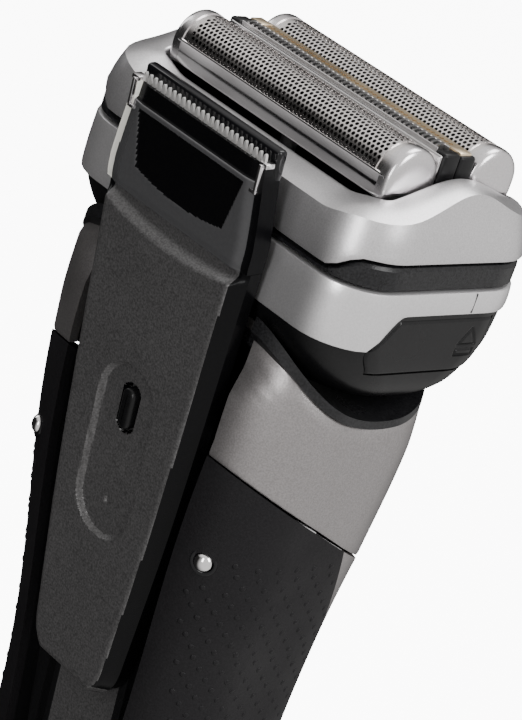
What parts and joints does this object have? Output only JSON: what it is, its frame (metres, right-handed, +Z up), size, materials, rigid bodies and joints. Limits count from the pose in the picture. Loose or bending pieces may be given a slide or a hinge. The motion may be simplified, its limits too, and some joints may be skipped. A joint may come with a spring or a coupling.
{
  "type": "electric shaver",
  "caption": "Cordless foil shaver: tapered handle with rubber grips, swivelling head, lift-off foil cassette, release buttons and a raised slide trimmer.",
  "frame": {"origin": "on the flat base that the shaver stands on, under the axis of the head", "axes": "+Z up along the handle to the foils, -Y the front with the power button, +Y the back with the slide trimmer, X across the foils' length"},
  "size_m": [0.0592, 0.0418, 0.163],
  "materials": {
    "silver": "satin",
    "gunmetal": "satin",
    "charcoal": "matte",
    "black_plastic": "satin",
    "black_gloss": "gloss",
    "rubber": "matte",
    "chrome": "polished",
    "steel": "brushed",
    "pale_gold": "satin",
    "copper": "satin",
    "battery_wrap": "satin",
    "board": "satin"
  },
  "bodies": {
    "handle": {"front_shell": "silver", "grip_left": "rubber", "grip_right": "rubber", "handle_frame": "black_plastic", "shoulder_cover": "gunmetal", "neck_collar": "black_plastic", "neck_post": "black_plastic", "neck_seal": "rubber", "pivot_pin": "steel", "base_cap": "black_plastic", "power_inlet": "black_plastic", "inlet_pins": "chrome", "base_screws": "steel", "battery_cell": "battery_wrap", "battery_tabs": "chrome", "circuit_board": "board", "button_bezel": "chrome", "display_window": "black_gloss", "contact_pins": "chrome", "trimmer_rails": "black_plastic"},
    "power_key": {"power_button": "silver"},
    "lock_slider": {"lock_switch": "black_plastic"},
    "head": {"head_bowl": "black_plastic", "head_ring": "silver", "head_deck": "black_plastic", "motor_coils": "copper", "motor_yokes": "steel"},
    "release_left": {"release_button_left": "black_plastic"},
    "release_right": {"release_button_right": "black_plastic"},
    "drive": {"drive_rocker": "black_plastic", "drive_pins": "steel"},
    "cassette": {"cassette_shell": "silver", "cassette_band": "black_plastic", "cassette_tray": "black_plastic", "end_guides": "black_plastic"},
    "rear_foil_unit": {"foil_frame_rear": "chrome", "foil_rear": "steel", "foil_caps_rear": "chrome"},
    "front_foil_unit": {"foil_frame_front": "chrome", "foil_front": "steel", "foil_caps_front": "chrome"},
    "rear_cutter": {"cutter_rear": "steel"},
    "front_cutter": {"cutter_front": "steel"},
    "comb_unit": {"guard_bar": "chrome", "comb_carrier": "black_plastic", "comb_lamellae": "steel"},
    "gold_unit": {"gold_carrier": "black_plastic", "gold_trimmer": "pale_gold"},
    "trimmer": {"trimmer_slide": "charcoal", "trimmer_carriage": "black_plastic", "trimmer_fixed_blade": "steel", "trimmer_cover": "black_gloss", "trimmer_clips": "chrome"},
    "trimmer_thumb": {"trimmer_button": "black_plastic"},
    "trimmer_blade": {"trimmer_moving_blade": "steel"}
  },
  "joints": [
    {"name": "head_swivel", "type": "hinge", "parent": "handle", "child": "head", "pos_m": [0, 0, 0.143], "axis": [1, 0, 0], "range_deg": [-8, 20], "stiffness_Nm_per_rad": 0.12},
    {"name": "release_left_press", "type": "slide", "parent": "head", "child": "release_left", "axis": [1, 0, 0], "range_m": [0, 0.0015], "stiffness_N_per_m": 900},
    {"name": "release_right_press", "type": "slide", "parent": "head", "child": "release_right", "axis": [-1, 0, 0], "range_m": [0, 0.0015], "stiffness_N_per_m": 900},
    {"name": "drive_stroke", "type": "slide", "parent": "head", "child": "drive", "axis": [1, 0, 0], "range_m": [-0.0008, 0.0008], "stiffness_N_per_m": 2000},
    {"name": "cassette_lift", "type": "slide", "parent": "head", "child": "cassette", "axis": [0, 0, 1], "range_m": [0, 0.014]},
    {"name": "rear_foil_float", "type": "slide", "parent": "cassette", "child": "rear_foil_unit", "axis": [0, 0, 1], "range_m": [-0.0018, 0], "stiffness_N_per_m": 700},
    {"name": "front_foil_float", "type": "slide", "parent": "cassette", "child": "front_foil_unit", "axis": [0, 0, 1], "range_m": [-0.0018, 0], "stiffness_N_per_m": 700},
    {"name": "comb_float", "type": "slide", "parent": "cassette", "child": "comb_unit", "axis": [0, 0, 1], "range_m": [-0.0018, 0], "stiffness_N_per_m": 700},
    {"name": "gold_float", "type": "slide", "parent": "cassette", "child": "gold_unit", "axis": [0, 0, 1], "range_m": [-0.0018, 0], "stiffness_N_per_m": 700},
    {"name": "rear_cutter_stroke", "type": "slide", "parent": "rear_foil_unit", "child": "rear_cutter", "axis": [1, 0, 0], "range_m": [-0.0008, 0.0008]},
    {"name": "front_cutter_stroke", "type": "slide", "parent": "front_foil_unit", "child": "front_cutter", "axis": [1, 0, 0], "range_m": [-0.0008, 0.0008]},
    {"name": "power_press", "type": "slide", "parent": "handle", "child": "power_key", "axis": [0, 1, 0], "range_m": [0, 0.0008], "stiffness_N_per_m": 900},
    {"name": "lock_slide", "type": "slide", "parent": "handle", "child": "lock_slider", "axis": [0, 0, 1], "range_m": [0, 0.003]},
    {"name": "trimmer_travel", "type": "slide", "parent": "handle", "child": "trimmer", "axis": [0, 0.1063, 0.9943], "range_m": [-0.024, 0]},
    {"name": "trimmer_button_press", "type": "slide", "parent": "trimmer", "child": "trimmer_thumb", "axis": [0, -0.9943, 0.1063], "range_m": [0, 0.0006], "stiffness_N_per_m": 900},
    {"name": "trimmer_blade_stroke", "type": "slide", "parent": "trimmer", "child": "trimmer_blade", "axis": [1, 0, 0], "range_m": [-0.0008, 0.0008], "stiffness_N_per_m": 2000}
  ],
  "couplings": [
    {"joint": "rear_cutter_stroke", "follows": "drive_stroke", "ratio": 1},
    {"joint": "front_cutter_stroke", "follows": "drive_stroke", "ratio": 1}
  ]
}
